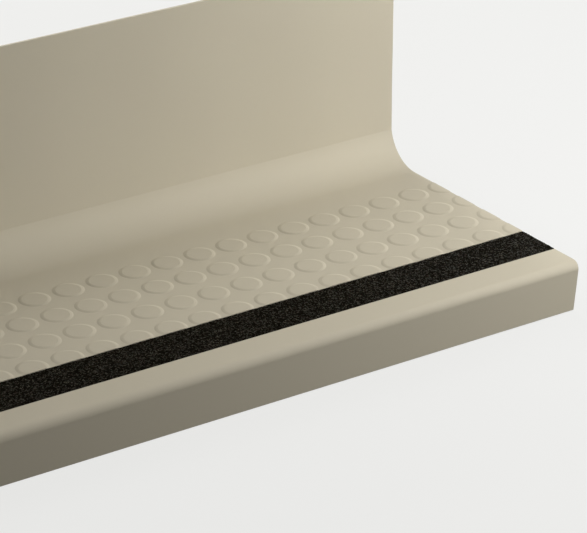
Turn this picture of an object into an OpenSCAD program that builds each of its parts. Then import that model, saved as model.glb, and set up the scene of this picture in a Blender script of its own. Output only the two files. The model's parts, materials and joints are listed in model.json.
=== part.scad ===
// Rubber stair tread and coved riser moulded in one piece, with a drop nosing, low round studs
// and a black grit strip bonded into a groove behind the nosing.
// The section is drawn as the piece is laid on a step: Y runs from the nosing back to the riser
// and Z up from the tread's top face. X is the length. The piece is then tipped as it lies loose
// on a level floor, on the foot of its lip and the back of its cove.

/* [Tread] */
// Length along the step, trimmed square through a column of studs
length = 1219; // [300:1:2740]
// Depth from the front of the nosing to the face of the riser
tread_d = 312; // [300:1:380]
// Thickness at the nosing and under the grit strip
nose_t = 5.3; // [4:0.1:9]
// Thickness at the cove and in the riser
thin_t = 3.2; // [2:0.1:5]
// Flat underside behind the groove before the tread starts to thin
flat_run = 10; // [0:1:40]

/* [Nosing] */
// Drop from the tread's top face to the foot of the lip
lip_h = 53.6; // [30:0.1:70]
// Thickness of the lip where it leaves the tread
lip_t = 6.2; // [4:0.1:9]
// Lean of the lip's outer face, back towards its foot
lip_lean = 6.3; // [0:0.1:8]
// Lean of the lip's inner face, which lies against the step
lip_rake = 4; // [0:0.1:8]
// Radius on the front edge of the nosing
nose_r = 8; // [1:0.1:10]
// Radius inside the nosing, where the edge of the step sits
heel_r = 3; // [1:0.1:8]
// Radius on the foot of the lip
foot_r = 1; // [0.5:0.1:1.4]

/* [Riser] */
// Height of the riser above the tread's top face
riser_h = 222; // [120:1:280]
// Radius of the cove between tread and riser
cove_r = 43; // [15:1:55]
// Turn of the crease where the cove meets the flat of the riser
crease = 12; // [0:1:25]
// Radius on the top edge of the riser
riser_r = 0.8; // [0.3:0.1:0.9]

/* [Studs] */
// Rows of studs from the groove to the cove
stud_rows = 4; // [1:1:4]
// Spacing of the studs along the length
pitch_x = 37; // [34:0.5:60]
// Spacing of the rows from front to back
pitch_y = 41.5; // [34:0.5:50]
// Diameter of a stud where its wall meets the tread
stud_d = 31.6; // [15:0.1:33]
// Height of a stud
stud_h = 0.5; // [0.3:0.05:2]
// Width of a stud's sloping wall
stud_wall = 3.4; // [0.8:0.1:6]
// First row's centres, measured back from the groove
row_start = 8.6; // [0:0.1:30]

/* [Grit strip] */
// Plain land from the front of the nosing to the groove
land_w = 39; // [20:0.5:45]
// Width of the groove
groove_w = 50.8; // [20:0.1:64]
// Depth of the groove
groove_h = 1.6; // [0.8:0.1:2.5]
// Gap between the strip and each side of the groove
strip_gap = 0.3; // [0.1:0.1:1]
// Thickness of the strip
strip_t = 1.8; // [0.8:0.1:4]
// Radius on the strip's two top edges
strip_r = 0.4; // [0.1:0.1:0.6]

/* [Hidden] */
$fn = 96;
// Largest turn from one flat to the next where a small edge is rounded.
arc_step = 8;

rubber = [0.72, 0.69, 0.6];
grit = [0.07, 0.07, 0.07];

groove_back = land_w + groove_w;
cove_y = tread_d - cove_r * cos(crease);
crease_z = cove_r * (1 - sin(crease));
riser_y = tread_d + thin_t;
back_r = cove_r + thin_t;
heel_y = nose_t * tan(lip_lean) + lip_t;
strip_w = groove_w - 2 * strip_gap;

// The wall of a stud rises to its shoulder and then eases over to the top.
shoulder_in = 0.45 * stud_wall;
shoulder_h = 0.55 * stud_h;
// How far a stud's root reaches into the tread.
root_h = 0.5;

// Corners of an outline, anticlockwise: Y, Z and the radius that rounds the corner.
tread_corners = [
    [0, 0, nose_r],
    [lip_h * tan(lip_lean), -lip_h, foot_r],
    [heel_y + (lip_h - nose_t) * tan(lip_rake), -lip_h, foot_r],
    [heel_y, -nose_t, heel_r],
    [groove_back + flat_run, -nose_t, 0],
    [cove_y, -thin_t, 0],
    [cove_y, 0, 0]
];
riser_corners = [
    [tread_d, crease_z, 0],
    [riser_y, crease_z, 0],
    [riser_y, riser_h, riser_r],
    [tread_d, riser_h, riser_r]
];
strip_corners = [
    [0, 0, 0],
    [strip_w, 0, 0],
    [strip_w, strip_t, strip_r],
    [0, strip_t, strip_r]
];

function point(c, i) = let (p = c[(i + len(c)) % len(c)]) [p[0], p[1]];
function heading(c, i) = let (v = point(c, i + 1) - point(c, i)) v / norm(v);
function turn(c, i) =
    let (a = heading(c, i - 1), b = heading(c, i))
    atan2(a[0] * b[1] - a[1] * b[0], a * b);

// Where the rounding of corner i starts, and the centre of its arc.
function arc_start(c, i) = point(c, i) - c[i][2] * tan(abs(turn(c, i)) / 2) * heading(c, i - 1);
function arc_centre(c, i) =
    let (a = heading(c, i - 1))
    arc_start(c, i) + sign(turn(c, i)) * c[i][2] * [-a[1], a[0]];
function turned(v, a) = [v[0] * cos(a) - v[1] * sin(a), v[0] * sin(a) + v[1] * cos(a)];
function arc(c, i) =
    let (o = arc_centre(c, i), n = ceil(abs(turn(c, i)) / arc_step))
    [for (k = [0 : n]) o + turned(arc_start(c, i) - o, turn(c, i) * k / n)];

// A closed outline whose corners are rounded, outside and inside ones alike.
function rounded(c) = [for (i = [0 : len(c) - 1]) each c[i][2] > 0 ? arc(c, i) : [point(c, i)]];

// Every round that the outside of the section is made of: its centre and radius.
rounds = concat(
    [for (i = [0, 1, 2]) [arc_centre(tread_corners, i), tread_corners[i][2]]],
    [for (i = [2, 3]) [arc_centre(riser_corners, i), riser_r]],
    [[[cove_y, cove_r], back_r]]
);
function reach(d) = max([for (k = rounds) k[0] * d + k[1]]);

// The floor touches the lip's inner foot and the back of the cove, two circles of unequal size.
lip_foot = arc_centre(tread_corners, 2);
span = [cove_y, cove_r] - lip_foot;
rest_angle = atan2(span[1], span[0]) - asin((back_r - foot_r) / norm(span));
up = [-sin(rest_angle), cos(rest_angle)];
back = [cos(rest_angle), sin(rest_angle)];

// Tips what is drawn as laid on a step into its loose rest, centred over the origin.
module at_rest() {
    translate([0, (reach(-back) - reach(back)) / 2, reach(-up)])
        rotate([-rest_angle, 0, 0])
            children();
}

// Sweeps a Y-Z outline along the whole length.
module sweep() {
    rotate([90, 0, 90])
        linear_extrude(height = length, center = true)
            children();
}

// The part of a ring that turns the tread up into the riser, as far as the crease.
module cove() {
    translate([cove_y, cove_r])
        intersection() {
            difference() {
                circle(r = back_r);
                circle(r = cove_r);
            }
            translate([0, -back_r]) square([riser_y - cove_y, back_r - cove_r + crease_z]);
        }
}

module section() {
    difference() {
        union() {
            polygon(rounded(tread_corners));
            cove();
            polygon(rounded(riser_corners));
        }
        translate([land_w, -groove_h]) square([groove_w, 2 * groove_h]);
    }
}

module stud() {
    rotate_extrude()
        polygon([
            [0, -root_h],
            [stud_d / 2, -root_h],
            [stud_d / 2, 0],
            [stud_d / 2 - shoulder_in, shoulder_h],
            [stud_d / 2 - stud_wall, stud_h],
            [0, stud_h]
        ]);
}

// Straight rows of studs. The groove and the two trimmed ends cut through the outer ones.
module studs() {
    // Half-pitch steps put the same cut through a stud at both ends of a piece of this length.
    columns = ceil((length / 2 + stud_d / 2) / pitch_x - 0.5);
    intersection() {
        for (row = [0 : stud_rows - 1], i = [-columns : columns - 1])
            translate([(i + 0.5) * pitch_x, groove_back + row_start + row * pitch_y, 0])
                stud();
        translate([-length / 2, groove_back, -root_h])
            cube([length, cove_y - groove_back, root_h + stud_h]);
    }
}

module tread_and_riser() {
    color(rubber)
        at_rest() {
            sweep() section();
            studs();
        }
}

module grit_strip() {
    color(grit)
        at_rest()
            sweep()
                translate([land_w + strip_gap, -groove_h])
                    polygon(rounded(strip_corners));
}

tread_and_riser();
grit_strip();
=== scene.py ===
"""Looks of a rubber stair tread moulded in one piece with its coved riser, and of its grit strip.

Sizes are millimetres in the laid frame, as the piece lies on a step: X runs along the length, Y
from the nosing back to the riser and Z up from the tread's top face. LooseRest turns them into
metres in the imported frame, where the piece lies tipped back on a level floor.
"""

import json
import logging
import math
from dataclasses import dataclass, field
from enum import IntEnum
from typing import NamedTuple, Sequence

import bmesh
import bpy
import numpy as np
from mathutils import Matrix, Vector, noise


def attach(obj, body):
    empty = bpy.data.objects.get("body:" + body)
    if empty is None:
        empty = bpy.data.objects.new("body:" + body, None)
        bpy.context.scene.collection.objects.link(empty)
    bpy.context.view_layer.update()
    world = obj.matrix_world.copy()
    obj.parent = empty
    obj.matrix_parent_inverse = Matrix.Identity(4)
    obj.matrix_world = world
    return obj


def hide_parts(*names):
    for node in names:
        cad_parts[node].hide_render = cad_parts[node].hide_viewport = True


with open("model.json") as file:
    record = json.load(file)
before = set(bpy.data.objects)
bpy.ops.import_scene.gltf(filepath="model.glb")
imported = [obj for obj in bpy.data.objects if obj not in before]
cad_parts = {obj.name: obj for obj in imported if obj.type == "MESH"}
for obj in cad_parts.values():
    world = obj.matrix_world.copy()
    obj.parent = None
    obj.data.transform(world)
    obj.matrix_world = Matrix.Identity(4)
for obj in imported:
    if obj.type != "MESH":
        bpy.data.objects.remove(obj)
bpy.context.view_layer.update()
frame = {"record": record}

LOG = logging.getLogger("stair_tread")
# Width of the photograph's frame, in pixels.
IMAGE_WIDTH = 587
# One millimetre, in metres.
MM = 0.001
# Noise from 0 to 1 lies evenly about this.
NOISE_MEAN = 0.5
# Points of an outline that are closer than this share of its deviation are one.
SAME_POINT = 0.1
# Vertices this close are one, lie on a trimming plane, or lie in one line, in millimetres.
WELD = 0.001
ON_PLANE = 0.0005
IN_LINE = 0.01

Colour = tuple[float, float, float, float]
Place = tuple[float, float, float]
Operand = "Value | float"
Row = Sequence[bmesh.types.BMVert]


class Value:
    """A node's output. Arithmetic on it adds Math nodes to the same recipe."""

    def __init__(self, recipe: "Recipe", socket: bpy.types.NodeSocket | None) -> None:
        """Keeps the recipe that the node is in and its output socket."""
        self.recipe = recipe
        self.socket = socket

    def output(self, name: str) -> "Value":
        """Another output of the same node."""
        return Value(self.recipe, self.socket.node.outputs[name])

    def _math(self, operation: str, first: Operand, second: Operand) -> "Value":
        """One Math node on two operands."""
        return self.recipe.node("ShaderNodeMath", {"operation": operation}, {0: first, 1: second})

    def __add__(self, other: Operand) -> "Value":
        """self + other."""
        return self._math("ADD", self, other)

    def __radd__(self, other: Operand) -> "Value":
        """other + self."""
        return self._math("ADD", other, self)

    def __sub__(self, other: Operand) -> "Value":
        """self - other."""
        return self._math("SUBTRACT", self, other)

    def __rsub__(self, other: Operand) -> "Value":
        """other - self."""
        return self._math("SUBTRACT", other, self)

    def __mul__(self, other: Operand) -> "Value":
        """self * other."""
        return self._math("MULTIPLY", self, other)

    def __rmul__(self, other: Operand) -> "Value":
        """other * self."""
        return self._math("MULTIPLY", other, self)

    def __gt__(self, other: Operand) -> "Value":
        """1 where self is greater than other, and 0 elsewhere."""
        return self._math("GREATER_THAN", self, other)

    def __lt__(self, other: Operand) -> "Value":
        """1 where self is less than other, and 0 elsewhere."""
        return self._math("LESS_THAN", self, other)


class Recipe:
    """The nodes of one material or of the world."""

    # A Mix node's sockets for colours: its share, both colours, and the output.
    COLOUR_MIX = (0, 6, 7)
    MIXED_COLOUR = 2

    def __init__(self, owner: bpy.types.Material | bpy.types.World) -> None:
        """Starts from an empty tree.

        Args:
            owner: The material or world whose nodes are made.
        """
        owner.use_nodes = True
        self.tree = owner.node_tree
        self.tree.nodes.clear()

    def node(
        self,
        kind: str,
        settings: dict[str, object] | None = None,
        sockets: dict[str | int, object] | None = None,
        output: str | int = 0,
    ) -> Value:
        """Adds one node.

        Args:
            kind: The node's type.
            settings: What is set on the node itself, first. "stops" are a ramp's places and colours.
            sockets: Values or links for its input sockets, by name or number.
            output: The output that is given back, where the node has any.

        Returns:
            That output.
        """
        made = self.tree.nodes.new(kind)
        for name, setting in (settings or {}).items():
            if name == "stops":
                self._set_stops(made.color_ramp, setting)
            else:
                setattr(made, name, setting)
        for name, value in (sockets or {}).items():
            if isinstance(value, Value):
                self.tree.links.new(value.socket, made.inputs[name])
            else:
                made.inputs[name].default_value = value
        return Value(self, made.outputs[output] if made.outputs else None)

    @staticmethod
    def _set_stops(ramp: bpy.types.ColorRamp, stops: Sequence[tuple[float, Colour]]) -> None:
        """Puts stops on a new ramp, each colour even up to the next.

        Args:
            ramp: The ramp, which starts with two stops.
            stops: Their places, from 0 to 1, and their colours.
        """
        ramp.interpolation = "CONSTANT"
        while len(ramp.elements) < len(stops):
            ramp.elements.new(1.0)
        for element, (place, colour) in zip(ramp.elements, stops):
            element.position = place
            element.color = colour

    def places(self) -> Value:
        """Places on the piece, in metres."""
        return self.node("ShaderNodeTexCoord", output="Object")

    def noise(self, places: Value, size: float, detail: float) -> Value:
        """Smooth noise from 0 to 1.

        Args:
            places: Where it is looked up.
            size: How far apart its lumps lie, in millimetres.
            detail: How many finer octaves it has.

        Returns:
            The noise.
        """
        sockets = {"Vector": places, "Scale": 1 / (size * MM), "Detail": detail}
        return self.node("ShaderNodeTexNoise", sockets=sockets)

    def mix(self, share: Operand, first: object, second: object) -> Value:
        """A colour between two, by a share from 0 to 1."""
        sockets = dict(zip(self.COLOUR_MIX, (share, first, second)))
        return self.node("ShaderNodeMix", {"data_type": "RGBA"}, sockets, self.MIXED_COLOUR)

    def blend(self, share: Operand, first: Value, second: Value) -> Value:
        """A shader between two, by a share from 0 to 1."""
        return self.node("ShaderNodeMixShader", sockets={0: share, 1: first, 2: second})

    def bump(self, height: Value, depth: float) -> Value:
        """A normal from a height of 0 to 1, which stands for depth in millimetres."""
        return self.node("ShaderNodeBump", sockets={"Distance": depth * MM, "Height": height})

    def surface(
        self, colour: Value, roughness: Operand, gloss: float, normal: Value | None = None
    ) -> Value:
        """The shader of a solid surface.

        Args:
            colour: Its colour.
            roughness: How dull it is.
            gloss: How strongly it mirrors, where 0.5 is plain plastic.
            normal: Its normal where it is bumpy.

        Returns:
            The shader.
        """
        sockets = {"Base Color": colour, "Roughness": roughness, "Specular IOR Level": gloss}
        if normal is not None:
            sockets["Normal"] = normal
        return self.node("ShaderNodeBsdfPrincipled", sockets=sockets)

    def backdrop(self, shown: Value, lit: Value) -> Value:
        """A shader that is one thing to look at and another in diffuse light.

        Args:
            shown: What the camera, gloss and glass see.
            lit: What diffuse light meets.

        Returns:
            The shader.
        """
        path = self.node("ShaderNodeLightPath", output="Is Camera Ray")
        looks = path + path.output("Is Glossy Ray") + path.output("Is Transmission Ray")
        return self.blend(looks > 0.5, lit, shown)

    def finish(self, kind: str, shader: Value) -> None:
        """Ends the tree with an output node of that kind."""
        self.node(kind, sockets={"Surface": shader})


@dataclass(frozen=True)
class RubberFinish:
    """A surface of the greige rubber.

    Attributes:
        name: The material's name.
        colour: Its colour, linear.
        tint: The colour that the clouds in the compound lean to.
        roughness: How dull it is.
        cloud_size: Width of the faint clouds in the compound, in millimetres.
        grain_size: Width of the surface's grain, in millimetres.
        grain_depth: Depth of that grain, in millimetres.
        stroke: How far a knife or a buffing belt draws the grain out, as a ratio.
        gloss: How strongly it mirrors, where 0.5 is plain plastic.
        cloud_tint: Share of the tint that the clouds bring.
        grain_tint: Share of the tint that the grain brings.
        dust_ratio: Width of the dusty spots over that of the grain.
        dust_relief: Height of the dusty spots over that of the grain.
        dust_dulling: Roughness from the cleanest to the dustiest spot.
        cloud_dulling: Roughness from one cloud to the next.
    """

    name: str
    colour: Colour
    tint: Colour
    roughness: float
    cloud_size: float
    grain_size: float
    grain_depth: float
    stroke: float = 1.0
    gloss: float = 0.2
    cloud_tint: float = 0.55
    grain_tint: float = 0.3
    dust_ratio: float = 4.0
    dust_relief: float = 0.5
    dust_dulling: float = 0.1
    cloud_dulling: float = 0.06

    def material(self) -> bpy.types.Material:
        """Makes the material.

        Returns:
            The material.
        """
        material = bpy.data.materials.new(self.name)
        recipe = Recipe(material)
        places = recipe.places()
        drawn = recipe.node(
            "ShaderNodeVectorMath", {"operation": "MULTIPLY"}, {0: places, 1: (1, 1, 1 / self.stroke)}
        )
        clouds = recipe.noise(places, self.cloud_size, detail=3)
        grain = recipe.noise(drawn, self.grain_size, detail=3)
        dust = recipe.noise(places, self.dust_ratio * self.grain_size, detail=2)
        tinted = self.cloud_tint * clouds + self.grain_tint * grain
        dusty = self.dust_dulling * (dust - NOISE_MEAN)
        cloudy = self.cloud_dulling * (clouds - NOISE_MEAN)
        shader = recipe.surface(
            recipe.mix(tinted, self.colour, self.tint),
            self.roughness + dusty + cloudy,
            self.gloss,
            recipe.bump(grain + self.dust_relief * dust, self.grain_depth),
        )
        recipe.finish("ShaderNodeOutputMaterial", shader)
        return material


@dataclass(frozen=True)
class GritFinish:
    """Black binder full of crushed mineral.

    Attributes:
        name: The material's name.
        grain_size: Width of a grain, in millimetres.
        binder: Colour of the binder and of the grains that it coats.
        dust: Colour that the binder leans to from place to place.
        crystals: Colours of the clean grains and the share of them from which each goes.
        clean: Share of the grains that are clean.
        binder_roughness: How dull the binder is.
        binder_gloss: How strongly the binder mirrors.
        crystal_roughness: How dull the shiniest clean grain is.
        crystal_spread: How much duller the dullest clean grain is.
        crystal_gloss: How strongly a clean grain mirrors.
    """

    name: str = "crushed_grit"
    grain_size: float = 1.2
    binder: Colour = (0.0038, 0.0033, 0.002, 1)
    dust: Colour = (0.0074, 0.0064, 0.004, 1)
    crystals: tuple[tuple[float, Colour], ...] = (
        (0.0, (0.01, 0.0086, 0.0052, 1)),
        (0.36, (0.021, 0.0138, 0.0088, 1)),
        (0.6, (0.0142, 0.0158, 0.0092, 1)),
        (0.8, (0.028, 0.025, 0.017, 1)),
        (0.94, (0.056, 0.05, 0.034, 1)),
    )
    clean: float = 0.34
    binder_roughness: float = 0.8
    binder_gloss: float = 0.0
    crystal_roughness: float = 0.2
    crystal_spread: float = 0.3
    crystal_gloss: float = 0.05

    def material(self) -> bpy.types.Material:
        """Makes the material.

        Returns:
            The material.
        """
        material = bpy.data.materials.new(self.name)
        recipe = Recipe(material)
        cells = recipe.node(
            "ShaderNodeTexVoronoi",
            {"feature": "F1"},
            {"Vector": recipe.places(), "Scale": 1 / (self.grain_size * MM)},
            "Color",
        )
        red = recipe.node("ShaderNodeSeparateColor", sockets={"Color": cells}, output="Red")
        green, blue = red.output("Green"), red.output("Blue")
        coated = recipe.surface(
            recipe.mix(green, self.binder, self.dust), self.binder_roughness, self.binder_gloss
        )
        crystal = recipe.surface(
            recipe.node("ShaderNodeValToRGB", {"stops": self.crystals}, {"Fac": blue}),
            self.crystal_roughness + self.crystal_spread * green,
            self.crystal_gloss,
        )
        shader = recipe.blend(red > 1 - self.clean, coated, crystal)
        recipe.finish("ShaderNodeOutputMaterial", shader)
        return material


class Side(IntEnum):
    """Which finish a face of the moulding has: the number of its material slot."""

    FACE = 0
    BACK = 1
    CUT = 2


RUBBER_FINISHES = {
    Side.FACE: RubberFinish(
        name="moulded_rubber_face",
        colour=(0.495, 0.454, 0.346, 1),
        tint=(0.508, 0.456, 0.358, 1),
        roughness=0.62,
        cloud_size=55,
        grain_size=0.7,
        grain_depth=0.02,
    ),
    Side.BACK: RubberFinish(
        name="buffed_rubber_back",
        colour=(0.44, 0.4, 0.31, 1),
        tint=(0.39, 0.355, 0.27, 1),
        roughness=0.82,
        cloud_size=30,
        grain_size=0.5,
        grain_depth=0.12,
    ),
    Side.CUT: RubberFinish(
        name="knife_cut_rubber_end",
        colour=(0.43, 0.39, 0.29, 1),
        tint=(0.37, 0.335, 0.25, 1),
        roughness=0.62,
        cloud_size=12,
        grain_size=0.4,
        grain_depth=0.08,
        stroke=9,
    ),
}


class Axis(IntEnum):
    """A coordinate's number in the laid frame."""

    LENGTH = 0
    DEPTH = 1


class Corner(NamedTuple):
    """A corner of an outline.

    Attributes:
        across: Its place across, in millimetres.
        up: Its height, in millimetres.
        radius: What rounds it.
        side: The side that the stretch after it belongs to.
    """

    across: float
    up: float
    radius: float = 0.0
    side: Side = Side.FACE

    @property
    def place(self) -> Vector:
        """Both coordinates as a vector."""
        return Vector((self.across, self.up))


def rounded(corners: Sequence[Corner], deviation: float) -> list[Corner]:
    """Rounds the corners of an open outline.

    Args:
        corners: Its corners, in order.
        deviation: How far a flat may lie off its arc, in millimetres.

    Returns:
        Corners without a radius. The flats of an arc have the side of the stretch before it.
    """
    points = [corners[0]]
    for before, corner, after in zip(corners, corners[1:], corners[2:]):
        into = (corner.place - before.place).normalized()
        out = (after.place - corner.place).normalized()
        turn = math.atan2(into.cross(out), into.dot(out))
        start = corner.place - into * corner.radius * math.tan(abs(turn) / 2)
        centre = start + math.copysign(corner.radius, turn) * Vector((-into.y, into.x))
        step = 2 * math.acos(1 - deviation / corner.radius) if corner.radius else math.pi
        flats = math.ceil(abs(turn) / step) if corner.radius else 0
        for k in range(flats + 1):
            spoke = Matrix.Rotation(turn * k / max(flats, 1), 2) @ (start - centre)
            side = corner.side if k == flats else before.side
            point = Corner(*(centre + spoke), 0.0, side)
            if (point.place - points[-1].place).length < SAME_POINT * deviation:
                points.pop()
            points.append(point)
    return points + [corners[-1]]


def subdivided(points: Sequence[Corner], longest: float) -> list[Corner]:
    """Cuts the stretches of an outline that are too long.

    Args:
        points: Its corners, without a radius.
        longest: Length of the longest stretch that is left whole, in millimetres.

    Returns:
        The same corners and the new ones between them.
    """
    cut = []
    for point, after in zip(points, points[1:]):
        parts = math.ceil((after.place - point.place).length / longest)
        for k in range(parts):
            cut.append(Corner(*point.place.lerp(after.place, k / parts), 0.0, point.side))
    return cut + [points[-1]]


def in_line(verts: Row, axis: Axis, value: float, order: Axis) -> list[bmesh.types.BMVert]:
    """The vertices at one coordinate, sorted by another."""
    found = [vert for vert in verts if abs(vert.co[axis] - value) < IN_LINE]
    return sorted(found, key=lambda vert: vert.co[order])


def zipped(first: Row, second: Row) -> list[Row]:
    """Triangles between two rows of vertices that both run along X.

    Args:
        first: One row.
        second: The other row, with any number of vertices.

    Returns:
        Three vertices for each triangle.
    """
    faces = []
    i = j = 0
    while i < len(first) - 1 or j < len(second) - 1:
        forward = i < len(first) - 1 and (
            j == len(second) - 1 or first[i + 1].co.x <= second[j + 1].co.x
        )
        if forward:
            faces.append((first[i], first[i + 1], second[j]))
            i += 1
        else:
            faces.append((first[i], second[j + 1], second[j]))
            j += 1
    return faces


@dataclass(frozen=True)
class LooseRest:
    """How the piece, drawn as laid on a step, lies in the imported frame.

    Attributes:
        matrix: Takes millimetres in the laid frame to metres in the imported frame.
    """

    matrix: Matrix

    @classmethod
    def from_face(cls, mount: dict, laid_centre: Vector) -> "LooseRest":
        """Works the pose out from one upright face.

        Args:
            mount: The record's mount at that face.
            laid_centre: The face's centre in the laid frame, where the face looks along Y.

        Returns:
            The pose.
        """
        _, out_y, out_z = mount["axis"]
        turned = Matrix.Rotation(math.atan2(out_z, out_y), 4, "X") @ Matrix.Scale(MM, 4)
        shift = Matrix.Translation(Vector(mount["pos_m"]) - turned @ laid_centre)
        return cls(shift @ turned)

    def place(self, laid: Vector) -> Vector:
        """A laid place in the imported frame."""
        return self.matrix @ laid


@dataclass
class TreadAndRiser:
    """The rubber moulding: lip, nosing, tread with its studs, cove and riser in one.

    The sizes are those of the solid part; what is finer than its tolerance is rounder here.

    Attributes:
        length: Length along the step, trimmed square through a column of studs.
        tread_d: Depth from the front of the nosing to the face of the riser.
        nose_t: Thickness at the nosing and under the grit strip.
        thin_t: Thickness at the cove and in the riser.
        flat_run: Flat underside behind the groove before the tread starts to thin.
        lip_h: Drop from the tread's top face to the foot of the lip.
        lip_t: Thickness of the lip where it leaves the tread.
        lip_lean: Lean of the lip's outer face, back towards its foot.
        lip_rake: Lean of the lip's inner face.
        nose_r: Radius on the front edge of the nosing.
        heel_r: Radius inside the nosing.
        foot_r: Radius on the foot of the lip.
        riser_h: Height of the riser above the tread's top face.
        cove_r: Radius of the cove between tread and riser.
        crease: Turn of the crease where the cove meets the flat of the riser.
        crease_r: Radius in that crease.
        riser_r: Radius on the top edge of the riser.
        land_w: Plain land from the front of the nosing to the groove.
        groove_w: Width of the groove.
        groove_h: Depth of the groove.
        groove_r: Radius on the groove's front edge.
        stud_rows: Rows of studs from the groove to the cove.
        pitch_x: Spacing of the studs along the length.
        pitch_y: Spacing of the rows from front to back.
        stud_d: Diameter of a stud where its wall meets the tread.
        stud_h: Height of a stud.
        stud_wall: Width of a stud's sloping wall.
        row_start: First row's centres, measured back from the groove.
        root_r: Radius where a stud's wall leaves the tread.
        shoulder_r: Radius part way up the wall.
        crown_r: Radius on the stud's top edge.
        shoulder_in: Share of the wall's width up to its shoulder.
        shoulder_up: Share of the stud's height up to its shoulder.
        sway: How far the loose sheet strays from flat.
        sway_size: Width of the lumps in which it strays.
        sway_squeeze: How much shorter those lumps are up the riser than along it.
        spokes: Corners round a stud.
        deviation: How far a flat may lie off its arc in the section.
        stud_deviation: How far a flat may lie off its arc down a stud's wall.
        column_w: Longest face along the length.
        row_w: Longest face round the section.
        band_margin: Plain strip between the studs' band and the section.
        sharp_turn: Turn from which an edge is shaded sharp.
    """

    length: float = 1219.0
    tread_d: float = 312.0
    nose_t: float = 5.3
    thin_t: float = 3.2
    flat_run: float = 10.0
    lip_h: float = 53.6
    lip_t: float = 6.2
    lip_lean: float = math.radians(6.3)
    lip_rake: float = math.radians(4.0)
    nose_r: float = 8.0
    heel_r: float = 3.0
    foot_r: float = 1.0
    riser_h: float = 222.0
    cove_r: float = 43.0
    crease: float = math.radians(12)
    crease_r: float = 1.5
    riser_r: float = 0.8
    land_w: float = 39.0
    groove_w: float = 50.8
    groove_h: float = 1.6
    groove_r: float = 0.25
    stud_rows: int = 4
    pitch_x: float = 37.0
    pitch_y: float = 41.5
    stud_d: float = 31.6
    stud_h: float = 0.5
    stud_wall: float = 3.4
    row_start: float = 8.6
    root_r: float = 1.0
    shoulder_r: float = 3.0
    crown_r: float = 3.0
    shoulder_in: float = 0.45
    shoulder_up: float = 0.55
    sway: float = 0.55
    sway_size: float = 80.0
    sway_squeeze: float = 1.2
    spokes: int = 48
    deviation: float = 0.02
    stud_deviation: float = 0.012
    column_w: float = 11.0
    row_w: float = 16.0
    band_margin: float = 4.0
    sharp_turn: float = math.radians(38)

    @property
    def groove_back(self) -> float:
        """Back edge of the groove."""
        return self.land_w + self.groove_w

    @property
    def band_back(self) -> float:
        """Back edge of the band that the studs share out."""
        return self.groove_back + self.row_start + (self.stud_rows - 0.5) * self.pitch_y

    @property
    def crease_z(self) -> float:
        """Height of the crease where the cove meets the flat of the riser."""
        return self.cove_r * (1 - math.sin(self.crease))

    @property
    def riser_back_centre(self) -> Vector:
        """Centre of the flat face behind the riser."""
        return Vector((0, self.tread_d + self.thin_t, (self.crease_z + self.riser_h - self.riser_r) / 2))

    def section(self) -> list[Corner]:
        """The section from behind the studs, round the riser and the lip, to the groove's back.

        Returns:
            Its corners, without a radius.
        """
        heel_y = self.nose_t * math.tan(self.lip_lean) + self.lip_t
        foot_y = heel_y + (self.lip_h - self.nose_t) * math.tan(self.lip_rake)
        riser_y = self.tread_d + self.thin_t
        lean = math.tan(self.crease)
        mitre_z = self.crease_z - self.thin_t * math.tan(self.crease / 2)
        cove_back_y = riser_y - (mitre_z + self.thin_t) * lean
        # The cove leaves room for the rounding of the crease.
        room = self.crease_r * math.tan(self.crease / 2) / math.tan(math.pi / 4 - self.crease / 2)
        corners = [
            Corner(self.band_back + self.band_margin, 0),
            Corner(self.tread_d - self.crease_z * lean, 0, self.cove_r - room),
            Corner(self.tread_d, self.crease_z, self.crease_r),
            Corner(self.tread_d, self.riser_h, self.riser_r),
            Corner(riser_y, self.riser_h, self.riser_r, Side.BACK),
            Corner(riser_y, mitre_z, 0, Side.BACK),
            Corner(cove_back_y, -self.thin_t, self.cove_r + self.thin_t, Side.BACK),
            Corner(self.tread_d - self.cove_r * math.cos(self.crease), -self.thin_t, 0, Side.BACK),
            Corner(self.groove_back + self.flat_run, -self.nose_t, 0, Side.BACK),
            Corner(heel_y, -self.nose_t, self.heel_r, Side.BACK),
            Corner(foot_y, -self.lip_h, self.foot_r),
            Corner(self.lip_h * math.tan(self.lip_lean), -self.lip_h, self.foot_r),
            Corner(0, 0, self.nose_r),
            Corner(self.land_w, 0, self.groove_r),
            Corner(self.land_w, -self.groove_h),
            Corner(self.groove_back, -self.groove_h),
        ]
        return subdivided(rounded(corners, self.deviation), self.row_w)

    def stud_profile(self) -> list[Corner]:
        """The wall of one stud, from the tread to the flat top.

        Returns:
            Its corners, across from the stud's axis and up from the tread.
        """
        edge = self.stud_d / 2
        crown = edge - self.stud_wall
        shoulder = edge - self.shoulder_in * self.stud_wall
        corners = [
            Corner(edge + self.root_r, 0),
            Corner(edge, 0, self.root_r),
            Corner(shoulder, self.shoulder_up * self.stud_h, self.shoulder_r),
            Corner(crown, self.stud_h, self.crown_r),
            Corner(crown - self.crown_r, self.stud_h),
        ]
        return rounded(corners, self.stud_deviation)[1:-1]

    def stud_rings(self) -> list[list[Vector]]:
        """One stud and its share of the tread.

        Returns:
            Rings of places about its centre, from the outside in.
        """
        half_x, half_y = self.pitch_x / 2, self.pitch_y / 2
        signs = ((-1, -1), (1, -1), (1, 1), (-1, 1))
        corners = [Vector((sign_x * half_x, sign_y * half_y, 0)) for sign_x, sign_y in signs]
        per_side = self.spokes // len(corners)
        share = []
        for k in range(self.spokes):
            side, step = divmod(k, per_side)
            after = corners[(side + 1) % len(corners)]
            share.append(corners[side].lerp(after, step / per_side))
        # The first spoke points at about the first corner, three eighths of a turn back from X.
        turns = [math.tau * (k / self.spokes - 3 / 8) for k in range(self.spokes)]
        rings = [share]
        for point in self.stud_profile():
            reach = point.across
            rings.append([Vector((reach * math.cos(a), reach * math.sin(a), point.up)) for a in turns])
        return rings

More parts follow.
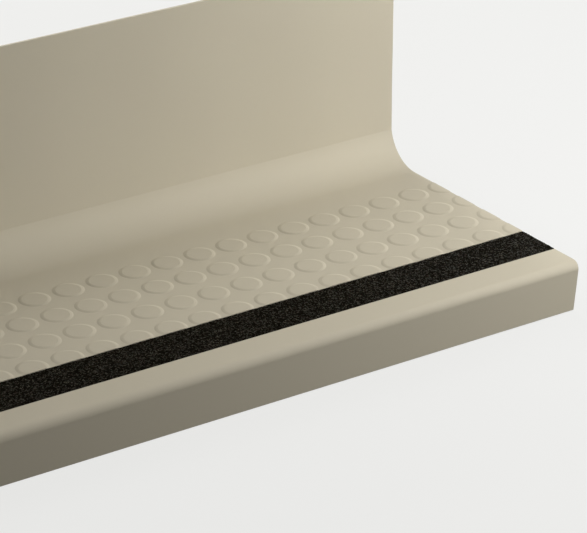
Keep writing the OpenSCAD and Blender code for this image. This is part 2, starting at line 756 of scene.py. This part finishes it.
    def add_stud_band(self, mesh: bmesh.types.BMesh) -> None:
        """Adds the studs and the tread between them, trimmed by the groove and both ends.

        Args:
            mesh: The mesh that they are added to.
        """
        rings = self.stud_rings()
        # Half-pitch steps put the same cut through a stud at both ends.
        columns = math.ceil((self.length / 2 + self.stud_d / 2) / self.pitch_x - 0.5)
        for row in range(self.stud_rows):
            for column in range(-columns, columns):
                y = self.groove_back + self.row_start + row * self.pitch_y
                centre = Vector(((column + 0.5) * self.pitch_x, y, 0))
                verts = [[mesh.verts.new(centre + point) for point in ring] for ring in rings]
                for outer, inner in zip(verts, verts[1:]):
                    for k in range(self.spokes):
                        after = (k + 1) % self.spokes
                        mesh.faces.new((outer[k], outer[after], inner[after], inner[k]))
                mesh.faces.new(verts[-1])
        flat = [vert for vert in mesh.verts if vert.co.z == 0]
        bmesh.ops.remove_doubles(mesh, verts=flat, dist=WELD)
        half = self.length / 2
        trims = (
            (Vector((0, self.groove_back, 0)), Vector((0, -1, 0))),
            (Vector((half, 0, 0)), Vector((1, 0, 0))),
            (Vector((-half, 0, 0)), Vector((-1, 0, 0))),
        )
        for place, outward in trims:
            parts = mesh.verts[:] + mesh.edges[:] + mesh.faces[:]
            bmesh.ops.bisect_plane(
                mesh, geom=parts, dist=ON_PLANE, plane_co=place, plane_no=outward, clear_outer=True
            )

    def add_sweep(self, mesh: bmesh.types.BMesh) -> list[Row]:
        """Sweeps the section along the length.

        Args:
            mesh: The mesh that it is added to.

        Returns:
            One row of vertices along X for each point of the section.
        """
        outline = self.section()
        columns = math.ceil(self.length / self.column_w)
        xs = [self.length * (k / columns - 0.5) for k in range(columns + 1)]
        rows = [[mesh.verts.new((x, point.across, point.up)) for x in xs] for point in outline]
        for point, row, after in zip(outline, rows, rows[1:]):
            for k in range(columns):
                face = mesh.faces.new((row[k], row[k + 1], after[k + 1], after[k]))
                face.material_index = point.side
        return rows

    def close(self, mesh: bmesh.types.BMesh, rows: list[Row]) -> None:
        """Joins the stud band to the sweep and caps both ends.

        Args:
            mesh: The mesh that holds both.
            rows: The sweep's rows, the first behind the band and the last in the groove.
        """
        swept = {vert for row in rows for vert in row}
        rim = [vert for vert in mesh.verts if vert.is_boundary and vert not in swept]
        for depth, row in ((self.band_back, rows[0]), (self.groove_back, rows[-1])):
            for corners in zipped(in_line(rim, Axis.DEPTH, depth, Axis.LENGTH), row):
                mesh.faces.new(corners)
        for end, x in ((0, -self.length / 2), (-1, self.length / 2)):
            loop = [row[end] for row in rows] + in_line(rim, Axis.LENGTH, x, Axis.DEPTH)
            cap = mesh.faces.new(loop)
            cap.material_index = Side.CUT

    def stray(self, place: Vector) -> Vector:
        """How far the loose sheet strays from flat, nothing at the tread itself.

        Args:
            place: A place on it in the laid frame.

        Returns:
            The way that the place moves.
        """
        rise = min(max(place.z / self.cove_r, 0), 1)
        lump = noise.noise(Vector((place.x, 0, self.sway_squeeze * place.z)) / self.sway_size)
        # The cubic eases the sway in over the cove.
        return Vector((0, self.sway * rise * rise * (3 - 2 * rise) * lump, 0))

    def build(self, rest: LooseRest) -> bpy.types.Object:
        """Makes the piece.

        Args:
            rest: Where it lies.

        Returns:
            The piece, dressed and riding on the part.
        """
        mesh = bmesh.new()
        self.add_stud_band(mesh)
        self.close(mesh, self.add_sweep(mesh))
        for vert in mesh.verts:
            vert.co += self.stray(vert.co)
        finishes = [RUBBER_FINISHES[side].material() for side in Side]
        piece = finished_piece("moulded_tread_and_riser", mesh, rest, finishes)
        piece.data.shade_smooth()
        piece.data.set_sharp_from_angle(angle=self.sharp_turn)
        even = piece.modifiers.new("even_shading", "WEIGHTED_NORMAL")
        even.keep_sharp = True
        return fitted(piece, "tread_and_riser")


@dataclass
class GritStrip:
    """The black strip bonded into the groove, with a face of crushed grit.

    Attributes:
        tread: The moulding whose groove it lies in.
        gap: Gap between the strip and each side of the groove.
        thickness: Thickness of the strip.
        edge_r: How far its two top edges are worn down.
        grain_pitch: Spacing of the grains' corners.
        jitter: How far a corner is moved either way, as a share of that spacing.
        grain_h: Height of the tallest grain.
        grain_power: How rare tall grains are: 1 makes every height as common.
        sunk: How far the lowest grains lie under the strip's top.
        seed: Seed of the dice.
    """

    tread: TreadAndRiser
    gap: float = 0.3
    thickness: float = 1.8
    edge_r: float = 0.4
    grain_pitch: float = 0.85
    jitter: float = 0.36
    grain_h: float = 0.5
    grain_power: float = 2.2
    sunk: float = 0.12
    seed: int = 11

    def face_points(self) -> np.ndarray:
        """Points of the rough face.

        Returns:
            Columns of rows of X, Y and Z.
        """
        dice = np.random.default_rng(self.seed)
        width = self.tread.groove_w - 2 * self.gap
        columns = round(self.tread.length / self.grain_pitch)
        rows = round(width / self.grain_pitch)
        x, y = np.meshgrid(
            np.linspace(-self.tread.length / 2, self.tread.length / 2, columns + 1),
            self.tread.land_w + self.gap + np.linspace(0, width, rows + 1),
            indexing="ij",
        )
        shift = dice.uniform(-self.jitter, self.jitter, (2, *x.shape)) * self.grain_pitch
        x[1:-1] += shift[0, 1:-1]
        y[:, 1:-1] += shift[1, :, 1:-1]
        top = self.thickness - self.tread.groove_h
        z = top - self.sunk + self.grain_h * dice.uniform(0, 1, x.shape) ** self.grain_power
        z[:, [0, -1]] = top - self.edge_r
        return np.stack([x, y, z], axis=-1)

    def build(self, rest: LooseRest) -> bpy.types.Object:
        """Makes the piece.

        Args:
            rest: Where it lies.

        Returns:
            The piece, dressed and riding on the part.
        """
        points = self.face_points()
        columns, rows, _ = points.shape
        mesh = bmesh.new()
        grid = [[mesh.verts.new(point) for point in column] for column in points]
        # Each cell is cut along one diagonal or the other, as often as not.
        split = np.random.default_rng(self.seed + 1).random((columns, rows)) < 0.5
        for i in range(columns - 1):
            for j in range(rows - 1):
                a, b, c, d = grid[i][j], grid[i + 1][j], grid[i + 1][j + 1], grid[i][j + 1]
                halves = ((a, b, c), (a, c, d)) if split[i, j] else ((a, b, d), (b, c, d))
                for half in halves:
                    mesh.faces.new(half)
        front_left, back_left, front_right, back_right = [
            mesh.verts.new((x, y, -self.tread.groove_h))
            for x in (points[0, 0, 0], points[-1, 0, 0])
            for y in (points[0, 0, 1], points[0, -1, 1])
        ]
        front = [column[0] for column in grid]
        back = [column[-1] for column in grid]
        mesh.faces.new([*reversed(front), front_left, front_right])
        mesh.faces.new([*back, back_right, back_left])
        mesh.faces.new([*grid[0], back_left, front_left])
        mesh.faces.new([*reversed(grid[-1]), front_right, back_right])
        mesh.faces.new([front_left, back_left, back_right, front_right])
        piece = finished_piece("bonded_grit_strip", mesh, rest, [GritFinish().material()])
        return fitted(piece, "grit_strip")


def finished_piece(
    name: str, mesh: bmesh.types.BMesh, rest: LooseRest, finishes: Sequence[bpy.types.Material]
) -> bpy.types.Object:
    """Turns a mesh in the laid frame into an object where the piece lies.

    Args:
        name: The piece's name.
        mesh: Its mesh, which is freed.
        rest: Where it lies.
        finishes: Its material slots.

    Returns:
        The object.
    """
    bmesh.ops.recalc_face_normals(mesh, faces=mesh.faces[:])
    bmesh.ops.transform(mesh, matrix=rest.matrix, verts=mesh.verts[:])
    data = bpy.data.meshes.new(name)
    mesh.to_mesh(data)
    mesh.free()
    for finish in finishes:
        data.materials.append(finish)
    piece = bpy.data.objects.new(name, data)
    bpy.context.scene.collection.objects.link(piece)
    return piece


def fitted(piece: bpy.types.Object, node: str) -> bpy.types.Object:
    """Makes a piece ride on the part and stand for a node.

    Args:
        piece: The piece.
        node: The node that it stands for.

    Returns:
        The piece.
    """
    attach(piece, "root")
    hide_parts(node)
    return piece


@dataclass(frozen=True)
class Softbox:
    """A soft oblong lamp.

    Attributes:
        name: Its name.
        place: Where it hangs, in metres.
        width: Metres across.
        height: Metres from its lower to its upper edge.
        power: Watts.
    """

    name: str
    place: Place
    width: float
    height: float
    power: float

    def build(self, aim: Place) -> bpy.types.Object:
        """Hangs the lamp.

        Args:
            aim: Where it points, in metres.

        Returns:
            The lamp.
        """
        light = bpy.data.lights.new(self.name, "AREA")
        light.shape = "RECTANGLE"
        light.size = self.width
        light.size_y = self.height
        light.energy = self.power
        lamp = bpy.data.objects.new(self.name, light)
        lamp.location = self.place
        away = Vector(self.place) - Vector(aim)
        lamp.rotation_euler = away.to_track_quat("Z", "Y").to_euler()
        lamp.visible_camera = False
        bpy.context.scene.collection.objects.link(lamp)
        return lamp


@dataclass
class Studio:
    """The pale floor, the soft lamps and the world round the piece.

    Attributes:
        floor_w: Width of the floor, in metres.
        floor_seen: Colour that the floor and the world show.
        floor_bounce: Colour with which the floor throws light back at the piece.
        shadow_share: Share of the shown floor that takes light and shadow.
        world_level: Strength of the even light from all round.
        aim: Where every lamp points, in metres.
        lamps: The lamps.
    """

    floor_w: float = 40.0
    floor_seen: Colour = (0.84, 0.84, 0.825, 1)
    floor_bounce: Colour = (0.08, 0.08, 0.08, 1)
    shadow_share: float = 0.12
    world_level: float = 0.15
    aim: Place = (0.25, 0.1, 0.06)
    lamps: tuple[Softbox, ...] = (
        Softbox("side", (3.4, -0.3, 0.62), 2.2, 1.1, 96),
        Softbox("low_front", (1.7, -0.7, 0.3), 0.5, 0.4, 7.6),
        Softbox("low_back", (1.8, 0.5, 0.35), 0.9, 0.5, 3),
        Softbox("near_end", (1.0, -0.4, 0.7), 0.4, 0.4, 5.2),
        Softbox("over_riser", (0.4, 1.3, 1.2), 0.8, 0.8, 3.6),
        Softbox("above_back", (-0.5, 1.2, 2.0), 1.2, 1.2, 9.4),
        Softbox("behind", (0.2, 3.4, 1.1), 1.8, 0.8, 120),
        Softbox("far_end", (-2.4, 0.1, 0.3), 0.9, 0.5, 6),
    )

    def floor_material(self) -> bpy.types.Material:
        """Makes the pale floor's material, which still shows the piece's shadow.

        Returns:
            The material.
        """
        material = bpy.data.materials.new("pale_floor")
        recipe = Recipe(material)
        glow = recipe.node("ShaderNodeEmission", sockets={"Color": self.floor_seen})
        paint = recipe.node("ShaderNodeBsdfDiffuse", sockets={"Color": self.floor_seen})
        pale = recipe.blend(self.shadow_share, glow, paint)
        bounce = recipe.node("ShaderNodeBsdfDiffuse", sockets={"Color": self.floor_bounce})
        recipe.finish("ShaderNodeOutputMaterial", recipe.backdrop(pale, bounce))
        return material

    def build_floor(self) -> bpy.types.Object:
        """Lays the floor.

        Returns:
            The floor.
        """
        mesh = bpy.data.meshes.new("studio_floor")
        half = self.floor_w / 2
        corners = [(-half, -half, 0), (half, -half, 0), (half, half, 0), (-half, half, 0)]
        mesh.from_pydata(corners, [], [(0, 1, 2, 3)])
        mesh.materials.append(self.floor_material())
        floor = bpy.data.objects.new("studio_floor", mesh)
        bpy.context.scene.collection.objects.link(floor)
        return floor

    def build_world(self) -> bpy.types.World:
        """Makes the pale world, which lights the piece only faintly.

        Returns:
            The world.
        """
        world = bpy.data.worlds.new("studio_world")
        recipe = Recipe(world)
        shown = recipe.node("ShaderNodeBackground", sockets={"Color": self.floor_seen})
        fill = recipe.node("ShaderNodeBackground", sockets={"Strength": self.world_level})
        recipe.finish("ShaderNodeOutputWorld", recipe.backdrop(shown, fill))
        bpy.context.scene.world = world
        return world

    def build(self) -> None:
        """Makes the floor, the world and the lamps."""
        self.build_floor()
        self.build_world()
        for lamp in self.lamps:
            lamp.build(self.aim)


@dataclass(frozen=True)
class Viewpoint:
    """The camera, at the photograph's angle to the piece as it is laid.

    Attributes:
        place: The camera's place in the laid frame.
        turn: Degrees that it looks to the right of straight at the riser.
        down: Degrees that it looks down onto the tread.
        roll: Degrees that it is turned clockwise.
        focal: Focal length, in pixels of the photograph.
        sensor: Width of the sensor, in millimetres.
        far: How far it sees, in metres.
    """

    place: Vector = field(default_factory=lambda: Vector((-1172.4, -2120.1, 1262.9)))
    turn: float = 34.297
    down: float = 24.708
    roll: float = -0.102
    focal: float = 3123.9
    sensor: float = 36.0
    far: float = 100.0

    def build(self, rest: LooseRest) -> bpy.types.Object:
        """Sets the camera up.

        Args:
            rest: Where the piece lies.

        Returns:
            The camera.
        """
        turn, down = math.radians(self.turn), math.radians(self.down)
        reach = math.cos(down)
        ahead = Vector((math.sin(turn) * reach, math.cos(turn) * reach, -math.sin(down)))
        right = Vector((math.cos(turn), -math.sin(turn), 0))
        level = Matrix((right, right.cross(ahead), -ahead)).transposed().to_4x4()
        rolled = level @ Matrix.Rotation(-math.radians(self.roll), 4, "Z")
        tip = rest.matrix.to_quaternion().to_matrix().to_4x4()
        data = bpy.data.cameras.new("photograph")
        data.sensor_width = self.sensor
        data.lens = self.focal / IMAGE_WIDTH * self.sensor
        data.clip_end = self.far
        camera = bpy.data.objects.new("photograph", data)
        camera.matrix_world = Matrix.Translation(rest.place(self.place)) @ tip @ rolled
        bpy.context.scene.collection.objects.link(camera)
        bpy.context.scene.camera = camera
        return camera


def mount_named(name: str) -> dict:
    """The record's mount of that name."""
    return next(mount for mount in frame["record"]["mounts"] if mount["name"] == name)


def main() -> None:
    """Builds both pieces, the studio and the camera, and reports each piece."""
    logging.basicConfig(level=logging.INFO, format="%(name)s: %(message)s")
    bpy.context.scene.view_settings.view_transform = "Standard"
    tread = TreadAndRiser()
    rest = LooseRest.from_face(mount_named("riser_back"), tread.riser_back_centre)
    for maker in (tread, GritStrip(tread)):
        piece = maker.build(rest)
        triangles = sum(len(face.vertices) - 2 for face in piece.data.polygons)
        LOG.info("%s: %d triangles", piece.name, triangles)
    Studio().build()
    Viewpoint().build(rest)


if __name__ == "__main__":
    main()
